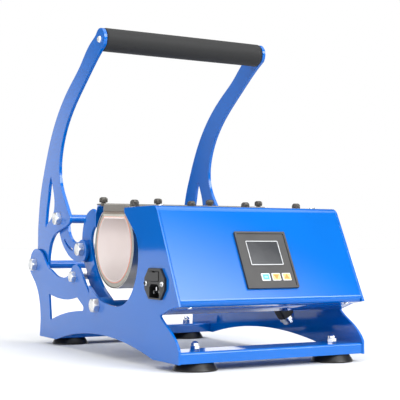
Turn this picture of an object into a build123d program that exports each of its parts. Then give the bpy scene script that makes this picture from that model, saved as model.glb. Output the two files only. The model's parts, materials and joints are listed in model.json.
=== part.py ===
from build123d import *
import os
from math import hypot

# Clamp-action heat press for mugs and tumblers.
# Frame: +X to the right of a person who faces the control panel, +Y to the rear, +Z up.
# The origin is on the ground, under the middle of the bounding box. Millimetres throughout.
# Outlines are (y, z) pairs, because every plate of the machine lies in a plane of constant x.

# ---- Driving dimensions ----
WIDTH = 250.0               # over the outer faces of the two side plates
PLATE = 3.0                 # thickness of the side plates
ARM_PLATE, LINK_PLATE, JAW_PLATE = 4.5, 4.0, 4.0
SHEET = 1.5                 # thickness of the folded covers
GROUND_GAP = 9.0            # height of the side plates' lower edge above the ground
SIDE = WIDTH / 2            # outer face of the right side plate
SIDE_IN = SIDE - PLATE      # its inner face

# Stack of flat parts inside the right side plate, as distances from the middle plane
ARM_OUT, ARM_IN = SIDE_IN - 1.0, SIDE_IN - 1.0 - ARM_PLATE
LINK_OUT, LINK_IN = ARM_IN - 0.5, ARM_IN - 0.5 - LINK_PLATE
JAW_OUT, JAW_IN = LINK_IN - 3.0, LINK_IN - 3.0 - JAW_PLATE
FACE_GAP = 0.15             # air between flat faces that move past each other

# Pivots, as (y, z)
LEVER_PIVOT = (214.0, 110.0)
LIFT_PIVOT = (130.0, 174.5)
JAW_LINK_PIVOT = (61.5, 132.4)
JAW_PIVOT = (-9.5, 62.3)
STOP_BOLT = (66.0, 96.5)

# Fasteners
PIVOT_SHANK, PIVOT_HEAD_FLATS, PIVOT_HEAD_HEIGHT = 4.0, 16.0, 6.4
PIVOT_BOLT = (PIVOT_SHANK, PIVOT_HEAD_FLATS, PIVOT_HEAD_HEIGHT)
M8_SHANK, M8_HEAD_FLATS, M8_HEAD_HEIGHT = 4.0, 13.0, 5.3
M6_SHANK = 3.0
M6_HOLE = 3.3               # radius of a clearance hole
RUNNING = 0.05              # radial clearance of a pivot
ROD_RADIUS = 6.0            # cross rods between the two sides
TAP_DEPTH = 28.0            # tapped holes in the ends of the rods
BOLT_REACH = 26.0           # how far a bolt goes in behind the plate that its head clamps

# Handle
HANDLE = (-6.0, 400.5)
ARM_END_RADIUS = 14.5
GRIP_RADIUS = 15.2
GRIP_HALF_LENGTH = ARM_IN - 0.4
HANDLE_TUBE_RADIUS = 11.0
HANDLE_TUBE_WALL = 1.5

# Heating sleeve: an oval that is open at the top and split into two halves at the bottom
SLEEVE = (-49.0, 137.0)     # centre of the oval
BORE_HALF_Y, BORE_HALF_Z = 47.5, 43.0
MAT, SPONGE, BAND = 2.0, 6.5, 1.0
SLEEVE_HALF_LENGTH = 120.0
MOUTH_FRONT, MOUTH_REAR = -77.5, -21.5
MOUTH_EDGE = 170.5          # height of the lips' inner edges
SPLIT_RADIUS = 50.0         # about the jaw pivot, so that the halves slide past each other
SPLIT_GAP = 0.5
SPLIT_EDGE = JAW_PIVOT[0] - 38.4 # the arc crosses the sleeve's wall in front of this y

# Box for the electronics
BOX_TOP = 182.7
BOX_REAR = -89.8
FACE_FOOT = (-230.1, 71.4)  # lower edge of the sloped front
FACE_TOP = (-174.05, BOX_TOP) # where the slope and the top would meet
LIP = (-209.1, 67.8)
NOTCH = (-186.0, 60.2)
TOP_BEND, LIP_BEND = 12.0, 6.0 # bend radii of the front cover
REAR_PANEL_Y = -131.8
COVER_HALF = SIDE_IN - 0.1
FACE_LENGTH = hypot(FACE_TOP[0] - FACE_FOOT[0], FACE_TOP[1] - FACE_FOOT[1])
FACE_UP = ((FACE_TOP[0] - FACE_FOOT[0]) / FACE_LENGTH, (FACE_TOP[1] - FACE_FOOT[1]) / FACE_LENGTH)

# Control panel, on the sloped front: x across, distance up the slope from its lower edge
PANEL_X, PANEL_UP = 1.2, 54.6
PANEL_WIDTH, PANEL_HEIGHT, PANEL_RISE = 69.0, 72.0, 3.0
SCREEN_X, SCREEN_UP = 1.0, 63.3
SCREEN_WIDTH, SCREEN_HEIGHT = 44.4, 32.3
BUTTON_XS = {"set_button": -6.2, "down_button": 8.0, "up_button": 22.2}
BUTTON_UP = 32.5
BUTTON_WIDTH, BUTTON_HEIGHT = 11.2, 9.2
BUTTON_GAP = 0.3

# Mains inlet with a fuse drawer, in the left side plate
INLET = (-176.0, 94.5)
INLET_SCREW_SPACING = 40.0

# Heater connector, under the box: an elbow whose outlet leans to the right and down
CONNECTOR = (67.0, -143.0, 57.0)
CONNECTOR_LEAN = (0.55, 0, -0.83)
ELBOW_WIDTH = 17.0
ELBOW_NECK_RADIUS = 8.0

# Feet
FOOT_X = 93.0
FOOT_YS = (-207.5, 156.9)
FOOT_RADIUS = 28.5
BEAM_WIDTH, BEAM_HEIGHT, BEAM_WALL = 41.0, 12.5, 2.0
BEAM_FOOT = GROUND_GAP + 0.5

# Clamp screws along both lips of the sleeve
CLAMP_SCREW_XS = (-116.0, -38.7, 38.7, 116.0)
CLAMP_HEAD_RADIUS, CLAMP_HEAD_HEIGHT = 5.3, 8.0
FRONT_SCREW_Y = -100.0
REAR_SCREW_Y = -9.0
STRAP_TOP = 190.5

# Small screws that hold the front cover, in its top and in its lower lip
COVER_SCREW_X, COVER_SCREW_Y = 106.0, -150.0


# ---- Helpers ----
def profile(*edges):
    """Closed face from edges that follow each other."""
    return make_face(Curve() + list(edges))


def along_x(face, x_from, x_to):
    """Push a (y, z) face from one x to another."""
    return extrude(Plane.YZ.offset(x_from) * face, amount=x_to - x_from)


def cylinder_x(centre, radius, x_from, x_to):
    return along_x(Pos(*centre) * Circle(radius), x_from, x_to)


def hexagon_x(centre, flats, x_from, x_to):
    hexagon = RegularPolygon(flats / 2, 6, major_radius=False)
    return along_x(Pos(*centre) * hexagon, x_from, x_to)


def ring_x(centre, outer, inner, x_from, x_to):
    return along_x(Pos(*centre) * (Circle(outer) - Circle(inner)), x_from, x_to)


def mirrored(solid):
    return mirror(solid, about=Plane.YZ)


def pair(solid):
    """A part of the right side and its twin on the left."""
    return [solid, mirrored(solid)]


def folded(points, thickness, radius, half_width):
    """Folded sheet: an open line of (y, z) points, thickened to its left, across the machine."""
    middle = FilletPolyline(points, radius=radius)
    section = make_face(offset(middle, amount=thickness, side=Side.LEFT))
    return along_x(section, -half_width, half_width)


def hex_bolt(centre, shank, flats, head_height, head_from, tip):
    """Bolt on the right side, head outwards."""
    head = hexagon_x(centre, flats, head_from, head_from + head_height)
    crown = Plane.YZ.offset(head_from) * Pos(*centre) * Circle(flats * 0.56)
    head = head & extrude(crown, amount=head_height, taper=14)
    return head + cylinder_x(centre, shank, tip, head_from)


def on_face(x, up, out=0.0):
    """Plane on the sloped front: local x across, local y up the slope, local z outwards."""
    normal = (-FACE_UP[1], FACE_UP[0])
    origin = (x, FACE_FOOT[0] + FACE_UP[0] * up + normal[0] * out,
              FACE_FOOT[1] + FACE_UP[1] * up + normal[1] * out)
    return Plane(origin=origin, x_dir=(1, 0, 0), z_dir=(0, normal[0], normal[1]))


def face_block(x, up, width, height, out_from, out_to, radius=0.0):
    shape = RectangleRounded(width, height, radius) if radius else Rectangle(width, height)
    return extrude(on_face(x, up, out_from) * shape, amount=out_to - out_from)


def block(x_from, x_to, y_from, y_to, z_from, z_to):
    size = (x_to - x_from, y_to - y_from, z_to - z_from)
    centre = ((x_from + x_to) / 2, (y_from + y_to) / 2, (z_from + z_to) / 2)
    return Pos(*centre) * Box(*size)


def save(name, *solids):
    shape = solids[0] if len(solids) == 1 else Compound(list(solids))
    shape.label = name
    export_step(shape, "parts/" + name + ".step")


# ---- Side plates and foot beams ----
def side_plate_face():
    front_foot = [(-229, 24), (-220.5, 34.8), (-209, 43.4), (-197, 50.2), (-185, 58.6)]
    throat = [(-109.5, 160.3), (-124, 146.2), (-128.6, 126.3), (-126, 108.9), (-117.6, 91),
              (-101.8, 73.9), (-72, 63.9), (-35, 66.2), (-4, 75.8), (18, 84.8), (36, 96)]
    throat_end = (45.5, 106)
    stop_ear = (59.5, 112.4)
    saddle = [(73, 108.6), (83, 99.6), (95, 95), (110, 94.2), (130, 96.8), (153.8, 104.9), (173.6, 116.2)]
    lever_ear = [(173.6, 116.2), (184, 125.6), (197, 131.3), (212, 132.8), (225, 129),
                 (233, 120.5), (235.6, 110), (233.4, 99.6)]
    heel = [(233.4, 99.6), (219, 88.5), (203.5, 74), (193.2, 52.8), (190.4, 31.7), (193, GROUND_GAP)]
    return profile(
        Line((-229, GROUND_GAP), front_foot[0]),
        Spline(front_foot),
        Line(front_foot[-1], NOTCH),
        Line(NOTCH, LIP),
        Line(LIP, FACE_FOOT),
        Line(FACE_FOOT, (-177.4, 176.1)),
        ThreePointArc((-177.4, 176.1), (-173.0, 180.9), (-166.6, BOX_TOP)),
        Line((-166.6, BOX_TOP), (-92.5, BOX_TOP)),
        ThreePointArc((-92.5, BOX_TOP), (-90.5, 181.8), (-89.8, 179.8)),
        Line((-89.8, 179.8), (-90.4, 176.5)),
        Line((-90.4, 176.5), throat[0]),
        Spline(throat, tangents=[(-1, -0.85), (1, 1.0)]),
        Line(throat[-1], throat_end),
        ThreePointArc(throat_end, stop_ear, saddle[0]),
        Spline(saddle, tangents=[(0.8, -1), (1, 0.85)]),
        Spline(lever_ear, tangents=[(1, 0.85), (-0.6, -1)]),
        Spline(heel, tangents=[(-0.6, -0.7), (0.1, -1)]),
        Line(heel[-1], (129.3, GROUND_GAP)),
        ThreePointArc((129.3, GROUND_GAP), (-18.7, 26.3), (-166.7, GROUND_GAP)),
        Line((-166.7, GROUND_GAP), (-229, GROUND_GAP)),
    )


def side_window_face():
    return profile(
        Line((156.5, 67), (151.5, 36)),
        ThreePointArc((151.5, 36), (150.6, 34.9), (149, 35)),
        Spline([(149, 35), (113, 43.8), (79, 49.3), (38, 52.8)]),
        ThreePointArc((38, 52.8), (34.3, 55.6), (35.9, 59.6)),
        Line((35.9, 59.6), (55, 69.2)),
        ThreePointArc((55, 69.2), (57, 69.9), (59, 69.5)),
        Spline([(59, 69.5), (78, 66.1), (100, 64.8), (126.5, 66), (154, 69.6)]),
        ThreePointArc((154, 69.6), (156.2, 69), (156.5, 67)),
    )


def side_plate():
    face = side_plate_face() - side_window_face()
    for pivot in (LEVER_PIVOT, JAW_PIVOT):
        face -= Pos(*pivot) * Circle(PIVOT_SHANK + RUNNING)
    face -= Pos(*STOP_BOLT) * Circle(M8_SHANK + RUNNING)
    return along_x(face, SIDE_IN, SIDE)


def inlet_cutout():
    hole = Pos(*INLET) * Rectangle(28.0, 31.6)
    for side in (-1, 1):
        hole += Pos(INLET[0] + side * INLET_SCREW_SPACING / 2, INLET[1]) * Circle(1.6)
    return along_x(hole, -SIDE - 1, -SIDE_IN + 1)


def foot_beam(y):
    front, rear = y - BEAM_WIDTH / 2, y + BEAM_WIDTH / 2
    top = BEAM_FOOT + BEAM_HEIGHT
    points = [(front, BEAM_FOOT), (front, top), (rear, top), (rear, BEAM_FOOT)]
    beam = make_face(offset(FilletPolyline(points, radius=3.0), amount=BEAM_WALL, side=Side.RIGHT))
    beam = along_x(beam, -COVER_HALF, COVER_HALF)
    for x in (-FOOT_X, FOOT_X):
        beam -= Pos(x, y, top) * Cylinder(M6_SHANK + RUNNING, 3 * BEAM_WALL)
    return beam


def suction_foot(x, y):
    seat = BEAM_FOOT + BEAM_HEIGHT - BEAM_WALL
    outline = Polyline((0, 3.5), (16, 3.0), (24.5, 0), (27.6, 0), (FOOT_RADIUS, 1.2), (25.6, 4.8),
                       (22.4, 8.2), (20.6, 9.2), (17.8, 9.2), (17.8, 11), (10.5, 12.5), (10.5, seat),
                       (0, seat), (0, 3.5))
    cup = revolve(Plane.XZ * make_face(outline), axis=Axis.Z)
    cup -= Pos(0, 0, seat) * Cylinder(M6_SHANK, 24)
    return Pos(x, y, 0) * cup


def foot_stud(x, y):
    top = BEAM_FOOT + BEAM_HEIGHT
    shank = Pos(x, y, (top - 13.5 + top + 5.5) / 2) * Cylinder(M6_SHANK, 19)
    return shank


def acorn_nut(x, y):
    seat = BEAM_FOOT + BEAM_HEIGHT
    nut = Pos(0, 0, seat) * extrude(RegularPolygon(5.0, 6, major_radius=False), amount=5.2)
    dome = Pos(0, 0, seat + 5.2) * Cylinder(4.6, 3.0, align=(Align.CENTER, Align.CENTER, Align.MIN))
    dome += (Pos(0, 0, seat + 5.6) * Sphere(4.6)) & (Pos(0, 0, seat + 10) * Box(12, 12, 9.6))
    bore = Pos(0, 0, seat) * Cylinder(M6_SHANK, 6, align=(Align.CENTER, Align.CENTER, Align.MIN))
    return Pos(x, y, 0) * (nut + dome - bore)


def foot_places():
    return [(x, y) for y in FOOT_YS for x in (-FOOT_X, FOOT_X)]


def build_stand():
    right = side_plate()
    save("right_side_plate", right)
    save("left_side_plate", mirrored(right) - inlet_cutout())
    save("front_foot_beam", foot_beam(FOOT_YS[0]))
    save("rear_foot_beam", foot_beam(FOOT_YS[1]))
    save("suction_feet", *[suction_foot(*place) for place in foot_places()])
    save("foot_studs", *[foot_stud(*place) for place in foot_places()])
    save("foot_acorn_nuts", *[acorn_nut(*place) for place in foot_places()])


# ---- Cross rods, pivot bolts and stops that belong to the stand ----
def tapped_rod(centre, half_length):
    rod = cylinder_x(centre, ROD_RADIUS, -half_length, half_length)
    for hole in pair(cylinder_x(centre, PIVOT_SHANK + RUNNING, half_length - TAP_DEPTH, half_length + 1)):
        rod -= hole
    return rod


def build_stand_pivots():
    save("lever_pivot_rod", tapped_rod(LEVER_PIVOT, ARM_IN - FACE_GAP))
    save("jaw_pivot_rod", tapped_rod(JAW_PIVOT, SIDE_IN))
    bolts = []
    for pivot in (LEVER_PIVOT, JAW_PIVOT):
        bolts += pair(hex_bolt(pivot, *PIVOT_BOLT, SIDE, SIDE_IN - BOLT_REACH))
    save("stand_pivot_bolts", *bolts)
    washer = ring_x(LEVER_PIVOT, 10.0, PIVOT_SHANK + RUNNING, ARM_OUT + FACE_GAP, SIDE_IN)
    save("lever_pivot_washers", *pair(washer))
    spacer = ring_x(JAW_PIVOT, 10.5, ROD_RADIUS + RUNNING, JAW_OUT + FACE_GAP, SIDE_IN)
    save("jaw_pivot_spacers", *pair(spacer))
    stop = hex_bolt(STOP_BOLT, M8_SHANK, M8_HEAD_FLATS, M8_HEAD_HEIGHT, SIDE, JAW_IN - 1)
    save("jaw_stop_bolts", *pair(stop))
    nut = hexagon_x(STOP_BOLT, M8_HEAD_FLATS, SIDE_IN - 5, SIDE_IN)
    nut -= cylinder_x(STOP_BOLT, M8_SHANK, SIDE_IN - 6, SIDE_IN + 1)
    save("stop_lock_nuts", *pair(nut))


# ---- Lever: two arms, the handle and the upper cross rod ----
def lever_arm_face():
    rear = [(7.5, 408.3), (25.2, 400.2), (58.6, 376.2), (93.5, 354.6), (129.8, 328), (165.6, 287.2),
            (190.6, 242.4), (206.3, 203), (212.8, 167), (213.6, 140)]
    knee = [(213.6, 140), (220, 125), (228, 115)]
    foot = (LEVER_PIVOT[0] - 2, LEVER_PIVOT[1] - 14.0)
    toe = (182, 101.5)
    leg_front = [(172.6, 112), (171.2, 122), (164.9, 138.6), (152, 151.2), (136.4, 156.9)]
    lobe = [(136.4, 156.9), (116, 161.6), (101, 165.2), (92.2, 170.2), (91.4, 175.6), (98.1, 182.9)]
    front = [(98.1, 182.9), (114.8, 203.9), (128.1, 225.2), (131.4, 244), (126, 270), (105.4, 303.6),
             (75.3, 330.9), (41.3, 354.6), (8.5, 376.6), (-16.2, 390.3)]
    end_top = (HANDLE[0] + 1.0, HANDLE[1] + ARM_END_RADIUS)
    end_front = (HANDLE[0] - ARM_END_RADIUS, HANDLE[1] + 1.0)
    return profile(
        Spline(rear, tangents=[(0.8, -0.5), (0.0, -1)]),
        Spline(knee, tangents=[(0.0, -1), (0.1, -1)]),
        ThreePointArc(knee[-1], (224, 99.5), foot),
        ThreePointArc(foot, (194, 98.5), toe),
        Spline([toe, leg_front[0]], tangents=[(-1, 0.35), (0.0, 1)]),
        Spline(leg_front, tangents=[(0.0, 1), (-1, 0.25)]),
        Spline(lobe, tangents=[(-1, 0.25), (0.7, 1)]),
        Spline(front, tangents=[(0.7, 1), (-0.9, 0.45)]),
        ThreePointArc(front[-1], (-19.6, 395.4), end_front),
        ThreePointArc(end_front, (-15.6, 411.3), end_top),
        Spline([end_top, rear[0]], tangents=[(1, 0.05), (0.8, -0.5)]),
    )


def lever_slot_face():
    rear = [(163.8, 233.5), (168.6, 226), (173.2, 209), (178, 194), (182, 176.7), (183.6, 166)]
    front = [(174, 169.6), (158.4, 177.8), (151, 187), (149.2, 197), (152.4, 211), (161.8, 232.6)]
    return profile(
        Spline(rear),
        ThreePointArc(rear[-1], (181.6, 163.9), (178.5, 166.3)),
        Line((178.5, 166.3), front[0]),
        Spline(front),
        ThreePointArc(front[-1], (162.9, 234), rear[0]),
    )


def lever_arm():
    face = lever_arm_face() - lever_slot_face()
    for pivot in (LEVER_PIVOT, LIFT_PIVOT):
        face -= Pos(*pivot) * Circle(PIVOT_SHANK + RUNNING)
    face -= Pos(*HANDLE) * Circle(M6_SHANK + RUNNING)
    return along_x(face, ARM_IN, ARM_OUT)


def handle_tube():
    inner = HANDLE_TUBE_RADIUS - HANDLE_TUBE_WALL
    plug = 8.0
    tube = cylinder_x(HANDLE, HANDLE_TUBE_RADIUS, -ARM_IN, ARM_IN)
    tube -= cylinder_x(HANDLE, inner, -ARM_IN + plug, ARM_IN - plug)
    return tube - cylinder_x(HANDLE, M6_SHANK, -ARM_IN - 1, ARM_IN + 1)


def handle_bolt():
    head = Plane.YZ.offset(ARM_OUT) * Pos(*HANDLE) * Circle(4.6)
    bolt = extrude(head, amount=2.4, taper=30) + cylinder_x(HANDLE, M6_SHANK, ARM_IN - 12, ARM_OUT)
    return bolt - hexagon_x(HANDLE, 3.6, ARM_OUT + 1.0, ARM_OUT + 5)


def build_lever():
    arm = lever_arm()
    save("right_lever_arm", arm)
    save("left_lever_arm", mirrored(arm))
    save("handle_tube", handle_tube())
    save("foam_grip", ring_x(HANDLE, GRIP_RADIUS, HANDLE_TUBE_RADIUS, -GRIP_HALF_LENGTH, GRIP_HALF_LENGTH))
    save("handle_bolts", *pair(handle_bolt()))
    save("lift_rod", tapped_rod(LIFT_PIVOT, LINK_IN - FACE_GAP))
    bolt = hex_bolt(LIFT_PIVOT, *PIVOT_BOLT, ARM_OUT, ARM_IN - BOLT_REACH)
    save("lift_bolts", *pair(bolt))


# ---- Links between the lever and the jaw ----
def link_face():
    top = [(114.6, 181), (111, 168), (108.5, 157), (99.5, 147), (84.5, 141.9), (70, 142.9)]
    low = [(60, 115.8), (73.4, 115.4), (91, 118), (108.5, 124.2), (123, 133.5), (136, 146),
           (143, 158), (144.5, 175)]
    return profile(
        Spline(top, tangents=[(-0.3, -1), (-1, 0.25)]),
        ThreePointArc(top[-1], (47.2, 130.2), low[0]),
        Spline(low, tangents=[(1, -0.1), (-0.05, 1)]),
        ThreePointArc(low[-1], (130.5, 190.4), top[0]),
    )


def link_slot_face():
    upper = ThreePointArc((121.2, 146.4), (108, 137.6), (94.4, 133.4))
    lower = ThreePointArc((95, 130.3), (109.6, 134.8), (122.8, 143.6))
    return profile(
        upper,
        ThreePointArc((94.4, 133.4), (93.2, 131.6), (95, 130.3)),
        lower,
        ThreePointArc((122.8, 143.6), (123.4, 145.9), (121.2, 146.4)),
    )


def build_links():
    face = link_face() - link_slot_face()
    for pivot in (LIFT_PIVOT, JAW_LINK_PIVOT):
        face -= Pos(*pivot) * Circle(PIVOT_SHANK + RUNNING)
    link = along_x(face, LINK_IN, LINK_OUT)
    save("right_link", link)
    save("left_link", mirrored(link))
    stub = hex_bolt(JAW_LINK_PIVOT, *PIVOT_BOLT, LINK_OUT, LINK_IN)
    save("link_bolts", *pair(stub))


# ---- Jaw: swings on the lower cross rod and carries the rear half of the sleeve ----
def jaw_plate_face():
    rear = [(43, 185.6), (60.7, 179.6), (72, 166.5), (77.2, 148), (76.6, 134), (70.5, 116), (60, 102.6)]
    heel = [(55.2, 92.6), (46, 83.2), (29.6, 72.6), (8, 62.4), (-5.5, 52.8)]
    front = [(-16.4, 69.6), (-11.5, 72.5), (7.3, 83.1), (21.8, 95.5), (36.6, 116), (46.2, 135),
             (45.6, 152), (34.4, 163)]
    return profile(
        Line((33.2, 182.4), rear[0]),
        Spline(rear, tangents=[(1, -0.2), (-0.8, -1)]),
        ThreePointArc(rear[-1], (61.0, 97.2), heel[0]),
        Spline(heel, tangents=[(-0.5, -1), (-1, -0.5)]),
        ThreePointArc(heel[-1], (-19.5, 59.5), front[0]),
        Spline(front, tangents=[(0.8, 0.6), (-1, 0.4)]),
        Line(front[-1], (33.2, 165)),
        Line((33.2, 165), (33.2, 182.4)),
    )


def jaw_cross_plate():
    points = [(33.2, 161), (33.2, 181), (7, 189), (-16, 189)]
    plate = folded(points, 2.0, 2.5, CLAMP_SCREW_XS[-1] + 1)
    for side in (-1, 1):
        corner = profile(Polyline((side * JAW_OUT, 40), (side * JAW_OUT, 30), (side * 117, 8),
                                  (side * 125, 8), (side * 125, 40), (side * JAW_OUT, 40)))
        plate -= extrude(Pos(0, 0, 150) * corner, amount=50)
    for x in CLAMP_SCREW_XS:
        plate -= Pos(x, REAR_SCREW_Y, STRAP_TOP) * Cylinder(M6_HOLE, 20)
    return plate


def rear_clamp_strap():
    points = [(-20, 180.5), (-20, STRAP_TOP), (3, STRAP_TOP)]
    section = make_face(offset(FilletPolyline(points, radius=2.0), amount=SHEET, side=Side.RIGHT))
    strap = along_x(section, -SLEEVE_HALF_LENGTH, SLEEVE_HALF_LENGTH)
    for x in CLAMP_SCREW_XS:
        strap -= Pos(x, REAR_SCREW_Y, STRAP_TOP) * Cylinder(M6_HOLE, 20)
    return strap


def cap_screw(x, y, seat, length):
    """Socket-head screw with a knurled head, pointing down."""
    screw = Pos(x, y, seat + CLAMP_HEAD_HEIGHT / 2) * Cylinder(CLAMP_HEAD_RADIUS, CLAMP_HEAD_HEIGHT)
    screw += Pos(x, y, seat - length / 2) * Cylinder(M6_SHANK, length)
    socket = Pos(x, y, seat + CLAMP_HEAD_HEIGHT - 1.5) * Cylinder(2.9, 3.01)
    return screw - socket


def build_jaw():
    face = jaw_plate_face() - Pos(*JAW_PIVOT) * Circle(ROD_RADIUS + RUNNING)
    face -= Pos(*JAW_LINK_PIVOT) * Circle(PIVOT_SHANK + RUNNING)
    plate = along_x(face, JAW_IN, JAW_OUT)
    save("right_jaw_plate", plate)
    save("left_jaw_plate", mirrored(plate))
    save("jaw_cross_plate", jaw_cross_plate())
    spacer = ring_x(JAW_LINK_PIVOT, 12.0, PIVOT_SHANK + RUNNING, JAW_OUT, LINK_IN - FACE_GAP)
    save("jaw_link_spacers", *pair(spacer))
    stud = cylinder_x(JAW_LINK_PIVOT, PIVOT_SHANK, JAW_IN - 10, LINK_IN - FACE_GAP)
    stud += hexagon_x(JAW_LINK_PIVOT, PIVOT_HEAD_FLATS, JAW_IN - 8, JAW_IN)
    save("jaw_link_nuts", *pair(stud))
    save("rear_clamp_strap", rear_clamp_strap())
    screws = [cap_screw(x, REAR_SCREW_Y, STRAP_TOP, 9.0) for x in CLAMP_SCREW_XS]
    save("rear_clamp_screws", *screws)


# ---- Heating sleeve ----
def oval(grow):
    return Pos(*SLEEVE) * Ellipse(BORE_HALF_Y + grow, BORE_HALF_Z + grow)


def sleeve_layer(inner, outer):
    """Front and rear faces of one layer of the sleeve."""
    corners = [(MOUTH_FRONT, MOUTH_EDGE), (MOUTH_REAR, MOUTH_EDGE),
               (MOUTH_REAR + 19, MOUTH_EDGE + 20), (MOUTH_FRONT - 19, MOUTH_EDGE + 20)]
    ring = oval(outer) - oval(inner) - make_face(Polyline(*corners, close=True))
    front_side = Pos(SPLIT_EDGE - 100, SLEEVE[1]) * Rectangle(200, 200)
    split = Pos(*JAW_PIVOT) * Circle(SPLIT_RADIUS + SPLIT_GAP)
    core = Pos(*JAW_PIVOT) * Circle(SPLIT_RADIUS - SPLIT_GAP)
    front = (ring & front_side) - split
    rear = (ring - front_side) + (ring & front_side & core)
    return front, rear


def build_sleeve():
    layers = {"mat": (0, MAT), "sponge": (MAT, MAT + SPONGE), "band": (MAT + SPONGE, MAT + SPONGE + BAND)}
    front_tab = Pos(-95.5, 177.2) * Rectangle(21, BAND)
    rear_tab = Pos(-16.2, 178.4) * Rectangle(4.4, BAND) + Pos(-17.9, 183.2) * Rectangle(BAND, 10.6)
    for layer, (inner, outer) in layers.items():
        front, rear = sleeve_layer(inner, outer)
        if layer == "band":
            front += front_tab
            rear += rear_tab
        save("sleeve_front_" + layer, along_x(front, -SLEEVE_HALF_LENGTH, SLEEVE_HALF_LENGTH))
        save("sleeve_rear_" + layer, along_x(rear, -SLEEVE_HALF_LENGTH, SLEEVE_HALF_LENGTH))


# ---- Electronics box ----
def front_cover():
    points = [(BOX_REAR, BOX_TOP), FACE_TOP, FACE_FOOT, LIP]
    cover = folded(points, SHEET, (TOP_BEND, LIP_BEND), COVER_HALF)
    cover -= face_block(PANEL_X, PANEL_UP, PANEL_WIDTH - 7, PANEL_HEIGHT - 7, -5, 5)
    for x in CLAMP_SCREW_XS:
        cover -= Pos(x, FRONT_SCREW_Y, BOX_TOP) * Cylinder(M6_HOLE, 10)
    return cover


def bottom_cover():
    points = [(LIP[0] + 0.6, LIP[1] - 0.1), NOTCH, (-150, NOTCH[1]), (REAR_PANEL_Y, NOTCH[1])]
    middle = Polyline(points)
    section = make_face(offset(middle, amount=SHEET, side=Side.LEFT))
    cover = along_x(section, -COVER_HALF, COVER_HALF)
    return cover - Pos(CONNECTOR[0], CONNECTOR[1], NOTCH[1]) * Cylinder(ELBOW_NECK_RADIUS + 0.2, 10)


def box_rear_panel():
    points = [(REAR_PANEL_Y + SHEET, NOTCH[1]), (REAR_PANEL_Y + SHEET, 146), (-106, 171.5), (-106, 180.9)]
    return folded(points, SHEET, 3.0, COVER_HALF)


def front_clamp_strip():
    strip = block(-SLEEVE_HALF_LENGTH, SLEEVE_HALF_LENGTH, -105.9, -89.9, 177.9, BOX_TOP - SHEET)
    for x in CLAMP_SCREW_XS:
        strip -= Pos(x, FRONT_SCREW_Y, BOX_TOP) * Cylinder(M6_SHANK + RUNNING, 20)
    return strip


def cover_screws():
    """Button-head screws: two in the top of the cover and two in its lower lip."""
    up = (Align.CENTER, Align.CENTER, Align.MIN)
    screws = []
    for x in (-COVER_SCREW_X, COVER_SCREW_X):
        head = Pos(x, COVER_SCREW_Y, BOX_TOP) * Cylinder(3.6, 1.8, align=up)
        shank = Pos(x, COVER_SCREW_Y, BOX_TOP - 6) * Cylinder(1.9, 6, align=up)
        screws.append(head + shank)
    middle = ((FACE_FOOT[0] + LIP[0]) / 2, (FACE_FOOT[1] + LIP[1]) / 2)
    slope = Plane(origin=(0, *middle), x_dir=(1, 0, 0),
                  z_dir=(0, LIP[1] - FACE_FOOT[1], FACE_FOOT[0] - LIP[0]))
    for x in (-COVER_SCREW_X, COVER_SCREW_X):
        head = extrude(slope * Pos(x, 0) * Circle(3.0), amount=1.6)
        shank = extrude(slope * Pos(x, 0) * Circle(1.5), amount=-6)
        screws.append(head + shank)
    return screws


def build_box():
    cover = front_cover()
    bottom = bottom_cover()
    screws = cover_screws()
    for screw in screws:
        cover -= screw
    save("front_cover", cover)
    save("bottom_cover", bottom)
    save("box_rear_panel", box_rear_panel())
    save("front_clamp_strip", front_clamp_strip())
    save("front_clamp_screws", *[cap_screw(x, FRONT_SCREW_Y, BOX_TOP, 4.6) for x in CLAMP_SCREW_XS])
    save("cover_screws", *screws)
    save("power_relay", block(60, 92, -156, REAR_PANEL_Y - 0.05, 84, 108))
    save("terminal_block", block(-60, -20, -160, -144, NOTCH[1] + SHEET, NOTCH[1] + SHEET + 14))


# ---- Control panel ----
def display_bezel():
    rim = 2.5
    body_w, body_h = PANEL_WIDTH - 8, PANEL_HEIGHT - 8
    inner_w, inner_h = PANEL_WIDTH - 2 * rim, PANEL_HEIGHT - 2 * rim
    hole_w, hole_h = BUTTON_WIDTH + 2 * BUTTON_GAP, BUTTON_HEIGHT + 2 * BUTTON_GAP
    bezel = face_block(PANEL_X, PANEL_UP, PANEL_WIDTH, PANEL_HEIGHT, 0, PANEL_RISE, 1.2)
    bezel += face_block(PANEL_X, PANEL_UP, body_w, body_h, -6.0, 0)
    bezel -= face_block(PANEL_X, PANEL_UP, inner_w, inner_h, PANEL_RISE - 1, PANEL_RISE + 1, 1.5)
    bezel -= face_block(SCREEN_X, SCREEN_UP, SCREEN_WIDTH, SCREEN_HEIGHT, -7, 5)
    for x in BUTTON_XS.values():
        bezel -= face_block(x, BUTTON_UP, hole_w, hole_h, -7, 5, 1.8)
        bezel -= face_block(x, BUTTON_UP, hole_w + 2, hole_h + 2, -7, -1.0)
    for side_x in (-1, 1):
        for side_up in (-1, 1):
            x, up = PANEL_X + side_x * (body_w / 2 - 3), PANEL_UP + side_up * (body_h / 2 - 3)
            bezel += face_block(x, up, 5, 5, -12, -6)
    return bezel


def button(x):
    cap = face_block(x, BUTTON_UP, BUTTON_WIDTH, BUTTON_HEIGHT, -1.2, 2.7, 1.5)
    flange = face_block(x, BUTTON_UP, BUTTON_WIDTH + 1.8, BUTTON_HEIGHT + 1.8, -2.4, -1.15)
    stem = face_block(x, BUTTON_UP, 4, 4, -7.0, -2.4)
    return cap + flange + stem


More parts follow.
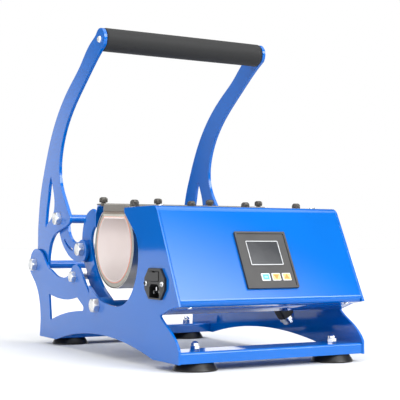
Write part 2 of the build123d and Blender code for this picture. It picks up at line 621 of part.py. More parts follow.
def build_panel():
    save("display_bezel", display_bezel())
    window = face_block(SCREEN_X, SCREEN_UP, SCREEN_WIDTH - 0.2, SCREEN_HEIGHT - 0.2, 0.2, 1.7)
    save("display_window", window)
    save("lcd_module", face_block(SCREEN_X, SCREEN_UP, SCREEN_WIDTH - 1, SCREEN_HEIGHT - 1, -5.6, 0.1))
    save("control_board", face_block(PANEL_X, PANEL_UP, 60, 63, -13.6, -12))
    switches = [face_block(x, BUTTON_UP, 6, 6, -12, -8.2) for x in BUTTON_XS.values()]
    save("tact_switches", *switches)
    for name, x in BUTTON_XS.items():
        save(name, button(x))


# ---- Mains inlet ----
def inlet_block(y_size, z_size, dz, x_from, x_to):
    face = Pos(INLET[0], INLET[1] + dz) * Rectangle(y_size, z_size)
    return along_x(face, x_from, x_to)


def power_inlet():
    ear = INLET_SCREW_SPACING / 2 + 5
    half_height = 17.5
    corners = [(-ear, -6), (-14.5, -half_height), (14.5, -half_height), (ear, -6),
               (ear, 6), (14.5, half_height), (-14.5, half_height), (-ear, 6), (-ear, -6)]
    flange = Pos(*INLET) * make_face(Polyline(corners))
    for side in (-1, 1):
        flange -= Pos(INLET[0] + side * INLET_SCREW_SPACING / 2, INLET[1]) * Circle(1.6)
    inlet = along_x(flange, -SIDE - 3, -SIDE)
    inlet += inlet_block(27.4, 31.0, 0, -SIDE, -SIDE + 28)
    socket = Pos(INLET[0], INLET[1] - 8) * make_face(Polyline(
        (-12, -7.5), (12, -7.5), (12, 3.5), (8, 7.5), (-8, 7.5), (-12, 3.5), (-12, -7.5)))
    inlet -= along_x(socket, -SIDE - 4, -SIDE + 14)
    inlet -= inlet_block(22.6, 11.6, 8.4, -SIDE - 4, -SIDE + 22)
    return inlet


def inlet_pins():
    pins = []
    for dy, dz in ((-7, -9.5), (0, -5.5), (7, -9.5)):
        face = Pos(INLET[0] + dy, INLET[1] + dz) * Rectangle(2, 4)
        pins.append(along_x(face, -SIDE, -SIDE + 14))
    return pins


def fuse_drawer():
    drawer = inlet_block(22.0, 11.0, 8.4, -SIDE - 3.6, -SIDE + 20)
    drawer -= inlet_block(21.0, 6.0, 8.4 + 0.5, -SIDE + 7, -SIDE + 14)
    drawer -= inlet_block(8.0, 1.6, 8.4 + 5.2, -SIDE - 4, -SIDE - 1.5)
    return drawer


def inlet_screw(side):
    y = INLET[0] + side * INLET_SCREW_SPACING / 2
    head = Plane.YZ.offset(-SIDE - 3) * Pos(y, INLET[1]) * Circle(3.1)
    screw = extrude(head, amount=-1.8, taper=15) + cylinder_x((y, INLET[1]), 1.5, -SIDE - 3, -SIDE_IN + 5)
    return screw - along_x(Pos(y, INLET[1]) * (Rectangle(4, 0.8) + Rectangle(0.8, 4)), -SIDE - 6, -SIDE - 4)


def build_inlet():
    save("power_inlet", power_inlet())
    save("inlet_pins", *inlet_pins())
    save("inlet_screws", inlet_screw(-1), inlet_screw(1))
    save("fuse_drawer", fuse_drawer())
    fuse = Pos(-SIDE + 10.5, INLET[0], INLET[1] + 8.9) * Rot(90, 0, 0) * Cylinder(2.5, 20)
    save("fuse_cartridge", fuse)


# ---- Heater connector under the box ----
def build_connector():
    outlet = Plane(origin=CONNECTOR, x_dir=(0.83, 0, 0.55), z_dir=CONNECTOR_LEAN)
    body = extrude(outlet * Pos(0, 0, -6) * RectangleRounded(ELBOW_WIDTH, ELBOW_WIDTH, 3), amount=13)
    above = Pos(CONNECTOR[0], CONNECTOR[1], NOTCH[1] + 15) * Box(60, 60, 30)
    neck = Pos(CONNECTOR[0], CONNECTOR[1], NOTCH[1]) * Cylinder(ELBOW_NECK_RADIUS, 7.0)
    save("heater_socket", (body - above) + neck)
    plug = extrude(outlet * Pos(0, 0, 7) * Circle(7.6), amount=9)
    ring = extrude(outlet * Pos(0, 0, 7) * Circle(9.4), amount=4.5)
    save("heater_plug", plug + ring)


os.makedirs("parts", exist_ok=True)
build_stand()
build_stand_pivots()
build_lever()
build_links()
build_jaw()
build_sleeve()
build_box()
build_panel()
build_inlet()
build_connector()
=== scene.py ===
import json
from math import atan2, cos, hypot, pi, radians, sin

import bmesh
import bpy
from mathutils import Euler, Matrix, Vector


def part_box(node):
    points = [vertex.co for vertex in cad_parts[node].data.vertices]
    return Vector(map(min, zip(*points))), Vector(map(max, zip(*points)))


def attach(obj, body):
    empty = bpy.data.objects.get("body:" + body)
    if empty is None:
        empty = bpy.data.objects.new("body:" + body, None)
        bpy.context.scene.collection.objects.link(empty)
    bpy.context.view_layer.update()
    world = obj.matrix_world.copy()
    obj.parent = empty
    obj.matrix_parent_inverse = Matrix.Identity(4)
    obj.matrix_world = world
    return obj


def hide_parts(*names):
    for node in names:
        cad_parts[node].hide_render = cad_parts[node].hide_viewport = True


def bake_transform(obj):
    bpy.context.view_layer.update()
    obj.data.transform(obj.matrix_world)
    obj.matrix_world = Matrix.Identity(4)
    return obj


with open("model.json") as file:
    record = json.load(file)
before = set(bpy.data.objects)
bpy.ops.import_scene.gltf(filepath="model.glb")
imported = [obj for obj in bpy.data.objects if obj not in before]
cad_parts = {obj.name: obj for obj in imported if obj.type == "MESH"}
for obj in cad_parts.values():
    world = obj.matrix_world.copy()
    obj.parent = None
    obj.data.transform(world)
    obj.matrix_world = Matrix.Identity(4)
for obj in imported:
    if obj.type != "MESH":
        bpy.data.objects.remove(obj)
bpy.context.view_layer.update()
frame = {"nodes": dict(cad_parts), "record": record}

MM = 0.001
nodes = frame["nodes"]
scene = bpy.context.scene
NODE_SLOT = {part["node"]: part["material_slot"] for part in frame["record"]["subparts"]}
NODE_BODY = {node: body for body, members in frame["record"]["behaviour"]["bodies"].items()
             for node in members}


# ---- Materials: each one is a Principled shader with its own procedural detail ----
class Finish:
    """A procedural material. Uniform values go straight onto the shader's sockets."""

    def __init__(self, name, color, roughness, metallic=0.0, **sockets):
        self.material = bpy.data.materials.new(name)
        self.material.use_nodes = True
        self.tree = self.material.node_tree
        self.shader = self.tree.nodes["Principled BSDF"]
        self.shader.inputs["Base Color"].default_value = (*color, 1)
        self.shader.inputs["Roughness"].default_value = roughness
        self.shader.inputs["Metallic"].default_value = metallic
        for socket, value in sockets.items():
            self.shader.inputs[socket.replace("_", " ")].default_value = value
        self.place = self.add("ShaderNodeTexCoord").outputs["Object"]
        self.last_bump = None

    def add(self, kind, **settings):
        node = self.tree.nodes.new(kind)
        for name, value in settings.items():
            setattr(node, name, value)
        return node

    def link(self, output, target):
        self.tree.links.new(output, target)

    def stretched(self, stretch):
        mapping = self.add("ShaderNodeMapping")
        mapping.inputs["Scale"].default_value = stretch
        self.link(self.place, mapping.inputs["Vector"])
        return mapping.outputs["Vector"]

    def noise(self, scale, detail=3.0, stretch=None):
        texture = self.add("ShaderNodeTexNoise")
        texture.inputs["Scale"].default_value = scale
        texture.inputs["Detail"].default_value = detail
        self.link(self.stretched(stretch) if stretch else self.place, texture.inputs["Vector"])
        return texture.outputs["Fac"]

    def cells(self, scale, stretch=None):
        texture = self.add("ShaderNodeTexVoronoi")
        texture.inputs["Scale"].default_value = scale
        self.link(self.stretched(stretch) if stretch else self.place, texture.inputs["Vector"])
        return texture.outputs["Distance"]

    def ramp(self, factor, stops):
        ramp = self.add("ShaderNodeValToRGB")
        elements = ramp.color_ramp.elements
        while len(elements) < len(stops):
            elements.new(0.5)
        for element, (position, value) in zip(elements, stops):
            element.position = position
            element.color = (*value, 1) if isinstance(value, tuple) else (value, value, value, 1)
        self.link(factor, ramp.inputs["Fac"])
        return ramp.outputs["Color"]

    def tint(self, factor, stops):
        self.link(self.ramp(factor, stops), self.shader.inputs["Base Color"])
        return self

    def gloss(self, factor, low, high):
        self.link(self.ramp(factor, [(0.3, low), (0.7, high)]), self.shader.inputs["Roughness"])
        return self

    def bump(self, height, strength, distance_mm):
        bump = self.add("ShaderNodeBump")
        bump.inputs["Strength"].default_value = strength
        bump.inputs["Distance"].default_value = distance_mm * MM
        self.link(height, bump.inputs["Height"])
        if self.last_bump:
            self.link(self.last_bump, bump.inputs["Normal"])
        self.last_bump = bump.outputs["Normal"]
        self.link(self.last_bump, self.shader.inputs["Normal"])
        return self


def shade(color, factor):
    return tuple(min(1.0, c * factor) for c in color)


def blue_powder_coat():
    blue = (0.0, 0.122, 0.50)
    paint = Finish("blue_powder_coat", blue, 0.45, Coat_Weight=1.0, Coat_Roughness=0.05, Coat_IOR=1.5,
                   Specular_IOR_Level=0.0)
    paint.tint(paint.noise(9, 2), [(0.3, shade(blue, 0.96)), (0.7, shade(blue, 1.04))])
    return paint.bump(paint.noise(700, 1), 0.04, 0.01).bump(paint.noise(120, 1), 0.03, 0.02)


def zinc_plate():
    zinc = Finish("zinc_plate", (0.78, 0.79, 0.80), 0.24, 1.0)
    zinc.tint(zinc.noise(260, 3), [(0.3, (0.70, 0.71, 0.72)), (0.6, (0.82, 0.83, 0.83)),
                                   (0.75, (0.86, 0.85, 0.80))])
    zinc.gloss(zinc.noise(420, 4), 0.26, 0.42)
    return zinc.bump(zinc.noise(1500, 2), 0.15, 0.02)


def chrome():
    metal = Finish("chrome", (0.86, 0.87, 0.89), 0.08, 1.0)
    metal.gloss(metal.noise(300, 3), 0.05, 0.13)
    return metal.bump(metal.noise(700, 2), 0.05, 0.01)


def stainless(name, tone, roughness=0.29):
    """Rolled sheet with streaks along x; tone darkens it or lightens it."""
    steel = Finish(name, shade((0.50, 0.475, 0.435), tone), roughness, 1.0)
    streaks = steel.noise(900, 3, stretch=(0.02, 1, 1))
    steel.tint(streaks, [(0.3, shade((0.46, 0.44, 0.40), tone)), (0.7, shade((0.52, 0.495, 0.455), tone))])
    steel.gloss(streaks, roughness, roughness + 0.05)
    return steel.bump(streaks, 0.02, 0.01)


def black_oxide():
    steel = Finish("black_oxide", (0.075, 0.068, 0.060), 0.42, 0.55)
    steel.tint(steel.noise(500, 4), [(0.35, (0.045, 0.042, 0.038)), (0.7, (0.13, 0.12, 0.105))])
    return steel.gloss(steel.noise(800, 3), 0.32, 0.52)


def moulded_black(name, color, roughness, grain):
    plastic = Finish(name, color, roughness, Specular_IOR_Level=0.45)
    plastic.tint(plastic.noise(60, 3), [(0.3, shade(color, 0.85)), (0.7, shade(color, 1.15))])
    return plastic.bump(plastic.noise(grain, 2), 0.22, 0.04)


def foot_rubber():
    rubber = Finish("foot_rubber", (0.010, 0.010, 0.010), 0.36, Specular_IOR_Level=0.35)
    rubber.tint(rubber.noise(150, 4), [(0.35, (0.007, 0.007, 0.007)), (0.75, (0.017, 0.016, 0.016))])
    rubber.gloss(rubber.noise(90, 3), 0.28, 0.46)
    return rubber.bump(rubber.noise(1200, 2), 0.12, 0.03)


def closed_cell_foam():
    foam = Finish("closed_cell_foam", (0.024, 0.024, 0.024), 0.6, Specular_IOR_Level=0.16)
    pores = foam.cells(1500)
    foam.tint(pores, [(0.1, (0.014, 0.014, 0.014)), (0.5, (0.032, 0.032, 0.032))])
    return foam.bump(pores, 0.45, 0.12).bump(foam.noise(220, 3), 0.2, 0.15)


def silicone_sponge():
    sponge = Finish("silicone_sponge", (0.35, 0.335, 0.295), 0.85)
    pores = sponge.cells(1400)
    sponge.tint(pores, [(0.08, (0.22, 0.21, 0.18)), (0.35, (0.37, 0.355, 0.315))])
    return sponge.bump(pores, 0.6, 0.2)


def heating_mat():
    mat = Finish("heating_mat_silicone", (0.62, 0.55, 0.53), 0.55)
    mat.tint(mat.noise(25, 2), [(0.3, (0.60, 0.53, 0.51)), (0.7, (0.65, 0.58, 0.56))])
    return mat.bump(mat.noise(700, 2), 0.12, 0.05)


def sealant():
    bead = Finish("red_sealant", (0.78, 0.27, 0.19), 0.42)
    bead.tint(bead.noise(240, 3), [(0.3, (0.80, 0.36, 0.27)), (0.7, (0.76, 0.24, 0.16))])
    return bead.bump(bead.noise(300, 3), 0.4, 0.2)


def gloss_key(name, color):
    key = Finish(name, color, 0.22, Coat_Weight=0.4, Coat_Roughness=0.08)
    key.tint(key.noise(400, 2), [(0.3, shade(color, 0.94)), (0.7, shade(color, 1.03))])
    return key.bump(key.noise(900, 1), 0.05, 0.02)


def dark_glass():
    glass = Finish("display_glass", (0.020, 0.022, 0.026), 0.10, Coat_Weight=1.0, Coat_Roughness=0.04)
    glass.tint(glass.noise(18, 1), [(0.3, (0.017, 0.019, 0.023)), (0.7, (0.028, 0.030, 0.035))])
    return glass.gloss(glass.noise(90, 2), 0.08, 0.14)


def circuit_board():
    board = Finish("circuit_board", (0.02, 0.16, 0.07), 0.35)
    board.tint(board.cells(240), [(0.2, (0.02, 0.20, 0.09)), (0.6, (0.01, 0.11, 0.05))])
    return board.bump(board.cells(240), 0.2, 0.1)


FINISHES = {
    "blue_paint": blue_powder_coat(),
    "foot_rubber": foot_rubber(),
    "zinc": zinc_plate(),
    "chrome": chrome(),
    "black_plastic": moulded_black("bezel_plastic", (0.034, 0.032, 0.031), 0.42, 1300),
    "screen_window": dark_glass(),
    "screen_dark": dark_glass(),
    "circuit_board": circuit_board(),
    "inlet_plastic": moulded_black("inlet_plastic", (0.012, 0.012, 0.012), 0.34, 1600),
    "pin_metal": chrome(),
    "relay_plastic": moulded_black("relay_plastic", (0.05, 0.05, 0.055), 0.5, 900),
    "stainless": stainless("rolled_stainless", 1.0),
    "black_steel": black_oxide(),
    "silicone_sponge": silicone_sponge(),
    "heating_mat": heating_mat(),
    "foam": closed_cell_foam(),
    "button_blue": gloss_key("key_blue", (0.05, 0.36, 0.62)),
    "button_orange": gloss_key("key_orange", (0.74, 0.24, 0.03)),
}
# Painted light: a lighter copy of the stainless that the band's own flanges use plainly
LIT_BAND_STEEL = stainless("band_stainless_painted_light", 1.5)
# Painted shade: a darker copy of the stainless for the clamp strap and strip; its higher roughness is real
SHADED_CLAMP_STEEL = stainless("clamp_stainless_painted_shade", 0.42, 0.62)
SEALANT = sealant()
# Painted shadow: a near-black material for a thin layer that stands for the shadow in the gap between
# sponge and band
GAP_SHADOW_BLACK = moulded_black("painted_gap_shadow", (0.016, 0.016, 0.016), 0.5, 700)
KEY_WHITE = gloss_key("key_white", (0.86, 0.87, 0.88))
KEY_FIELDS = {"button_blue": gloss_key("key_field_blue", (0.30, 0.66, 0.82)),
              "button_orange": gloss_key("key_field_orange", (0.86, 0.48, 0.17))}
FRAME_GREY = gloss_key("screen_frame_grey", (0.62, 0.63, 0.64))


# ---- Mesh helpers ----
def piece(name, bm, body, finish, smooth_angle=35):
    """New object from a bmesh, on a body, smooth apart from edges sharper than smooth_angle degrees."""
    bmesh.ops.recalc_face_normals(bm, faces=bm.faces)
    mesh = bpy.data.meshes.new(name)
    bm.to_mesh(mesh)
    bm.free()
    mesh.shade_smooth()
    mesh.set_sharp_from_angle(angle=radians(smooth_angle))
    obj = bpy.data.objects.new(name, mesh)
    scene.collection.objects.link(obj)
    mesh.materials.append(finish.material)
    if body:
        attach(obj, body)
    return obj


MERGE_DISTANCE, FLAT_ANGLE, SHARP_ANGLE = 1e-6, 0.3, 28
# The clamp strap and strip take the darkened stainless, which is painted shade
SHADED_ROUGH_STEEL = {"rear_clamp_strap": SHADED_CLAMP_STEEL, "front_clamp_strip": SHADED_CLAMP_STEEL}


def softened(node, width_mm):
    """A CAD node with its edges rounded as deburred and painted metal or moulded plastic is."""
    bm = bmesh.new()
    bm.from_mesh(nodes[node].data)
    bmesh.ops.remove_doubles(bm, verts=bm.verts, dist=MERGE_DISTANCE)
    bmesh.ops.dissolve_limit(bm, angle_limit=radians(FLAT_ANGLE), use_dissolve_boundaries=False,
                             verts=bm.verts, edges=bm.edges)
    sharp = [e for e in bm.edges if len(e.link_faces) == 2 and e.calc_face_angle(0) > radians(SHARP_ANGLE)]
    bmesh.ops.bevel(bm, geom=sharp, offset=width_mm * MM, offset_type="OFFSET", segments=2,
                    profile=0.5, affect="EDGES", clamp_overlap=False)
    finish = SHADED_ROUGH_STEEL.get(node, FINISHES[NODE_SLOT[node]])
    obj = piece(node + "_finished", bm, NODE_BODY[node], finish)
    weighted = obj.modifiers.new("even_normals", "WEIGHTED_NORMAL")
    weighted.keep_sharp = True
    weighted.weight = 80
    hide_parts(node)


def finish_cad_nodes():
    for name, obj in nodes.items():
        obj.data.materials.clear()
        obj.data.materials.append(FINISHES[NODE_SLOT[name]].material)


# ---- Camera, floor and light ----
CAMERA_PLACE = (-0.6488, -1.2155, 0.1362)
CAMERA_TILT, CAMERA_TURN = 2.5665, -29.1458
LENS, SENSOR_WIDTH, CLIP_END = 93.35, 36, 100
FLOOR_SIZE = 30


def build_camera():
    camera = bpy.data.objects.new("camera", bpy.data.cameras.new("camera"))
    scene.collection.objects.link(camera)
    camera.data.sensor_width = SENSOR_WIDTH
    camera.data.lens = LENS
    camera.data.clip_end = CLIP_END
    camera.location = CAMERA_PLACE
    camera.rotation_euler = Euler((radians(90 + CAMERA_TILT), 0, radians(CAMERA_TURN)))
    scene.camera = camera


def build_floor():
    bm = bmesh.new()
    bmesh.ops.create_grid(bm, x_segments=8, y_segments=8, size=FLOOR_SIZE)
    grey = (0.74, 0.74, 0.74)
    pale = Finish("pale_floor", grey, 0.8, Specular_IOR_Level=0.1)
    pale.tint(pale.noise(3, 2), [(0.3, shade(grey, 0.993)), (0.7, shade(grey, 1.007))])
    floor = piece("floor", bm, None, pale)


# The light is all in the world: strengths of its soft sources, and the way to the middle of the key lamp
REAR_WALL, LEFT_WALL, SIDE_WALL, CEILING, KEY_LAMP = 1.40, 0.58, 1.5, 1.9, 9.2
FILL_LOW, FILL_HIGH = 0.06, 0.16
KEY_TURN, KEY_RISE = radians(19), radians(26)
KEY_EDGE, KEY_CORE = cos(radians(29.5)), cos(radians(20))
KEY_DIRECTION = (sin(KEY_TURN) * cos(KEY_RISE), -cos(KEY_TURN) * cos(KEY_RISE), sin(KEY_RISE))
STUDIO_WHITE = (0.98, 0.99, 1.0, 1)


def build_light():
    scene.view_settings.view_transform = "Standard"
    world = bpy.data.worlds.new("studio")
    world.use_nodes = True
    scene.world = world
    tree = world.node_tree
    tree.nodes.clear()
    add, link = tree.nodes.new, tree.links.new

    def math(operation, first, *others):
        """A chain of math nodes: others are worked onto first, one after the other."""
        for other in others:
            node = add("ShaderNodeMath")
            node.operation = operation
            for socket, value in zip(node.inputs, (first, other)):
                if isinstance(value, (int, float)):
                    socket.default_value = value
                else:
                    link(value, socket)
            first = node.outputs[0]
        return first

    def ramp(factor, low, high, from_value, to_value):
        node = add("ShaderNodeMapRange")
        node.interpolation_type = "SMOOTHSTEP"
        node.inputs["From Min"].default_value = low
        node.inputs["From Max"].default_value = high
        node.inputs["To Min"].default_value = from_value
        node.inputs["To Max"].default_value = to_value
        link(factor, node.inputs["Value"])
        return node.outputs["Result"]

    def background(color, strength):
        node = add("ShaderNodeBackground")
        node.inputs["Color"].default_value = color
        if isinstance(strength, float):
            node.inputs["Strength"].default_value = strength
        else:
            link(strength, node.inputs["Strength"])
        return node.outputs[0]

    direction = add("ShaderNodeTexCoord").outputs["Generated"]
    split = add("ShaderNodeSeparateXYZ")
    link(direction, split.inputs[0])
    x, y, z = split.outputs
    # Bearings are in degrees from straight behind (+Y) towards the left (-X). A low pale wall stands behind
    # and fades out from 20 to 25.5; a dark gap follows, and from 28 a dimmer wall goes on round the left.
    bearing = math("MULTIPLY", math("ARCTAN2", math("MULTIPLY", x, -1.0), y), 180 / pi)
    rear_wall = math("MULTIPLY", ramp(bearing, 20.0, 25.5, REAR_WALL, 0.0), ramp(bearing, -100, -60, 0, 1),
                     ramp(z, 0.10, 0.24, 1.0, 0.25))
    left_wall = math("MULTIPLY", ramp(bearing, 28.0, 30.0, 0.0, LEFT_WALL), ramp(bearing, 60, 100, 1, 0))
    walls = math("MULTIPLY", math("ADD", rear_wall, left_wall), ramp(z, 0.25, 0.5, 1.0, 0.0))
    side_wall = math("MULTIPLY", ramp(bearing, 62, 80, 0.0, SIDE_WALL), ramp(bearing, 140, 165, 1, 0),
                     ramp(z, 0.6, 0.85, 1.0, 0.0))
    fill = ramp(z, 0.02, 0.30, FILL_LOW, FILL_HIGH)
    ceiling = ramp(z, 0.745, 0.82, 0.0, CEILING)
    # The key is a broad lamp with a soft rim, at the front, a little to the right
    toward = add("ShaderNodeVectorMath")
    toward.operation = "DOT_PRODUCT"
    toward.inputs[1].default_value = KEY_DIRECTION
    link(direction, toward.inputs[0])
    key = math("MULTIPLY", ramp(toward.outputs["Value"], KEY_EDGE, KEY_CORE, 0.0, KEY_LAMP),
               ramp(z, 0.20, 0.42, 0.0, 1.0))
    # Behind the object the backdrop is plain white
    mix = add("ShaderNodeMixShader")
    link(add("ShaderNodeLightPath").outputs["Is Camera Ray"], mix.inputs["Fac"])
    link(background(STUDIO_WHITE, math("ADD", walls, fill, ceiling, side_wall, key)), mix.inputs[1])
    link(background((1, 1, 1, 1), 1.0), mix.inputs[2])
    link(mix.outputs[0], add("ShaderNodeOutputWorld").inputs["Surface"])


# ---- Painted and plated metal: CAD shapes with rounded edges, by edge width in mm ----
SOFT_EDGES = {
    0.40: ["left_side_plate", "right_side_plate", "left_lever_arm", "right_lever_arm",
           "left_link", "right_link", "left_jaw_plate", "right_jaw_plate"],
    0.25: ["front_foot_beam", "rear_foot_beam", "front_cover", "bottom_cover", "box_rear_panel",
           "jaw_cross_plate", "rear_clamp_strap", "front_clamp_strip"],
    0.30: ["jaw_link_nuts", "stop_lock_nuts", "jaw_pivot_spacers", "jaw_link_spacers",
           "lever_pivot_washers", "handle_bolts", "foot_acorn_nuts", "cover_screws", "inlet_screws",
           "heater_socket", "heater_plug", "power_inlet", "fuse_drawer"],
}


def build_soft_edges():
    for width, names in SOFT_EDGES.items():
        for name in names:
            softened(name, width)


# ---- Shapes in mesh code, in mm ----
def ring_faces(bm, rows, close_rows=False):
    """Quads between rows of vertices; every row runs round the shape."""
    pairs = list(zip(rows, rows[1:]))
    if close_rows:
        pairs.append((rows[-1], rows[0]))
    for one, two in pairs:
        count = len(one)
        for i in range(count):
            bm.faces.new((one[i], one[(i + 1) % count], two[(i + 1) % count], two[i]))


def capped_rows(bm, rows):
    """A solid from rows of vertices, closed at its first and last row."""
    ring_faces(bm, rows)
    bm.faces.new(list(reversed(rows[0])))
    bm.faces.new(rows[-1])


def circle_outline(radius, count=48):
    return [(radius * cos(2 * pi * i / count), radius * sin(2 * pi * i / count)) for i in range(count)]


def lathe(bm, outline, place, segments=48, teeth=None):
    """Turned body about local z. outline: (radius, height); teeth: {row: radius step} for knurling."""
    rows = []
    for number, (radius, height) in enumerate(outline):
        step = teeth.get(number, 0) if teeth else 0
        row = []
        for i in range(segments):
            a = 2 * pi * i / segments
            r = radius - (step if i % 2 else 0)
            row.append(bm.verts.new(place @ Vector((r * cos(a) * MM, r * sin(a) * MM, height * MM))))
        rows.append(row)
    capped_rows(bm, rows)


def loop(bm, points, place, height):
    return [bm.verts.new(place @ Vector((u * MM, v * MM, height * MM))) for u, v in points]


def slab(bm, outlines, place):
    """Stack of equal-count outlines [(points, height)], capped at both ends."""
    capped_rows(bm, [loop(bm, points, place, height) for points, height in outlines])


def rim(bm, outlines, place):
    """Closed ring from the outlines [(points, height)] of its section, taken in order."""
    ring_faces(bm, [loop(bm, points, place, height) for points, height in outlines], close_rows=True)


def rounded_rectangle(width, height, radius, steps=6):
    points = []
    for corner in range(4):
        cx = (width / 2 - radius) * (1 if corner in (0, 3) else -1)
        cy = (height / 2 - radius) * (1 if corner in (0, 1) else -1)
        for i in range(steps + 1):
            a = pi / 2 * (corner + i / steps)
            points.append((cx + radius * cos(a), cy + radius * sin(a)))
    return points


# ---- Planes and pivots of the machine: (y, z) in mm ----
FACE_FOOT, FACE_TOP = (-230.1, 71.4), (-174.05, 182.7)
FACE_LENGTH = hypot(FACE_TOP[0] - FACE_FOOT[0], FACE_TOP[1] - FACE_FOOT[1])
UP_Y, UP_Z = (FACE_TOP[0] - FACE_FOOT[0]) / FACE_LENGTH, (FACE_TOP[1] - FACE_FOOT[1]) / FACE_LENGTH
LEVER_PIVOT, JAW_PIVOT = (214.0, 110.0), (-9.5, 62.3)
LIFT_PIVOT, LINK_PIVOT = (130.0, 174.5), (61.5, 132.4)
STOP_BOLT = (66.0, 96.5)
GRIP_AXIS = (-6.0, 400.5)
CLAMP_XS = (-116.0, -38.7, 38.7, 116.0)
FRONT_CLAMP_Y, REAR_CLAMP_Y = -100.0, -9.0
STRAP_TOP = 192.0
FOOT_X, FOOT_YS = 93.0, (-207.5, 156.9)
TO_RIGHT = Matrix(((0, 0, 1), (1, 0, 0), (0, 1, 0)))
TO_LEFT = Matrix(((0, 0, -1), (0, 1, 0), (1, 0, 0)))


def on_face(x, up, out=0.0):
    """Local x across the sloped front, y up the slope, z outwards."""
    origin = Vector((x, FACE_FOOT[0] + UP_Y * up - UP_Z * out, FACE_FOOT[1] + UP_Z * up + UP_Y * out)) * MM
    axes = Matrix(((1, 0, 0), (0, UP_Y, -UP_Z), (0, UP_Z, UP_Y)))
    return Matrix.Translation(origin) @ axes.to_4x4()


def across(axes, x, y, z):
    """Local z runs along the machine's x, to the right or to the left."""
    return Matrix.Translation(Vector((x, y, z)) * MM) @ axes.to_4x4()


def upright(x, y, z=0.0):
    return Matrix.Translation(Vector((x, y, z)) * MM)


# ---- Clamp screws: knurled heads with domed tops and a socket ----
# The head's profile is (radius, share of its height), and its knurling is {row: depth}
SCREW_HEAD = [(2.0, 0), (5.0, 0), (5.3, 0.07), (5.3, 0.60), (5.05, 0.74), (4.5, 0.86), (3.5, 0.96),
              (2.7, 1.0), (2.6, 0.95), (2.6, 0.8), (0.6, 0.78)]
SCREW_KNURLING = {2: 0.42, 3: 0.42, 4: 0.3}
SCREW_SHANK = [(3.0, -4.6), (3.0, 0.0)]
WASHER = 0.6
WASHER_PROFILE = [(3.1, -0.1), (6.2, -0.1), (6.4, 0.1), (6.3, WASHER), (3.1, WASHER)]
FRONT_HEAD, REAR_HEAD = 8.6, 6.6


def build_clamp_screws():
    for node, body, y, seat, tall in (
            ("front_clamp_screws", "stand", FRONT_CLAMP_Y, FACE_TOP[1] + WASHER, FRONT_HEAD),
            ("rear_clamp_screws", "jaw", REAR_CLAMP_Y, STRAP_TOP, REAR_HEAD)):
        head = [(radius, share * tall) for radius, share in SCREW_HEAD]
        bm = bmesh.new()
        for x in CLAMP_XS:
            lathe(bm, head, upright(x, y, seat), segments=56, teeth=SCREW_KNURLING)
            lathe(bm, SCREW_SHANK, upright(x, y, seat), segments=32)
        heads = piece(node + "_knurled", bm, body, FINISHES["black_steel"], smooth_angle=30)
        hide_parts(node)
    bm = bmesh.new()
    for x in CLAMP_XS:
        lathe(bm, WASHER_PROFILE, upright(x, FRONT_CLAMP_Y, FACE_TOP[1]), segments=40)
    piece("clamp_screw_washers", bm, "stand", FINISHES["zinc"], smooth_angle=40)


# ---- Bolts: forged hex heads with a dished top, as (width over flats, height) ----
PIVOT_HEAD, STOP_HEAD = (16.4, 7.8), (13.2, 6.2)
SHANK_RADIUS = 4.0


def hexagon(flats, corner_cut, steps=8):
    """Hexagon with points along its sides, cut by a circle as the chamfer of a forged head is."""
    points = []
    for i in range(6 * steps):
        a = 2 * pi * i / (6 * steps)
        inside = (a + pi / 6) % (pi / 3) - pi / 6
        reach = min(flats / 2 / cos(inside), corner_cut)
        points.append((reach * cos(a), reach * sin(a)))
    return points


def bolt(bm, pivot, side, seat, size, tip):
    """A bolt with its head outwards (side 1 right, -1 left), from its seat in to its tip."""
    flats, tall = size
    corner = flats / 2 / cos(pi / 6)
    place = across(TO_RIGHT if side > 0 else TO_LEFT, side * seat, *pivot)
    sides = [(0.97, 1, 0.0), (1, 1, 0.3), (1, 1, tall * 0.62), (1, 0.965, tall * 0.76),
             (1, 0.90, tall * 0.90)]
    dish = [(0.44, tall), (0.36, tall - 0.05), (0.31, tall - 0.45), (0.05, tall - 0.5)]
    head = [(hexagon(flats * width, corner * cut), height) for width, cut, height in sides]
    head += [(circle_outline(flats * share), height) for share, height in dish]
    slab(bm, head, place)
    slab(bm, [(circle_outline(SHANK_RADIUS), tip - seat), (circle_outline(SHANK_RADIUS), 0.0)], place)


# Node, body, pivots, the plate under the heads, head size, and how near the tips come to the middle
BOLTS = [("stand_pivot_bolts", "stand", [LEVER_PIVOT, JAW_PIVOT], "right_side_plate", PIVOT_HEAD, 96.0),
         ("lift_bolts", "lever", [LIFT_PIVOT], "right_lever_arm", PIVOT_HEAD, 90.5),
         ("link_bolts", "link", [LINK_PIVOT], "right_link", PIVOT_HEAD, 112.0),
         ("jaw_stop_bolts", "stand", [STOP_BOLT], "right_side_plate", STOP_HEAD, 104.0)]


def build_bolts():
    for node, body, pivots, plate, size, tip in BOLTS:
        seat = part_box(plate)[1][0] / MM
        bm = bmesh.new()
        for pivot in pivots:
            for side in (-1, 1):
                bolt(bm, pivot, side, seat, size, tip)
        heads = piece(node + "_forged", bm, body, FINISHES["zinc"], smooth_angle=24)
        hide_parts(node)


# ---- Foam grip: slightly crowned, its ends rounded by (inset from the outside, distance from the end) ----
GRIP_HALF, GRIP_OUTER, GRIP_INNER = 116.1, 15.2, 11.0
GRIP_END = [(2.6, 0.0), (1.1, 0.5), (0.2, 1.7)]
GRIP_CROWN, GRIP_CROWN_START, GRIP_STATIONS = 0.15, 4, 24


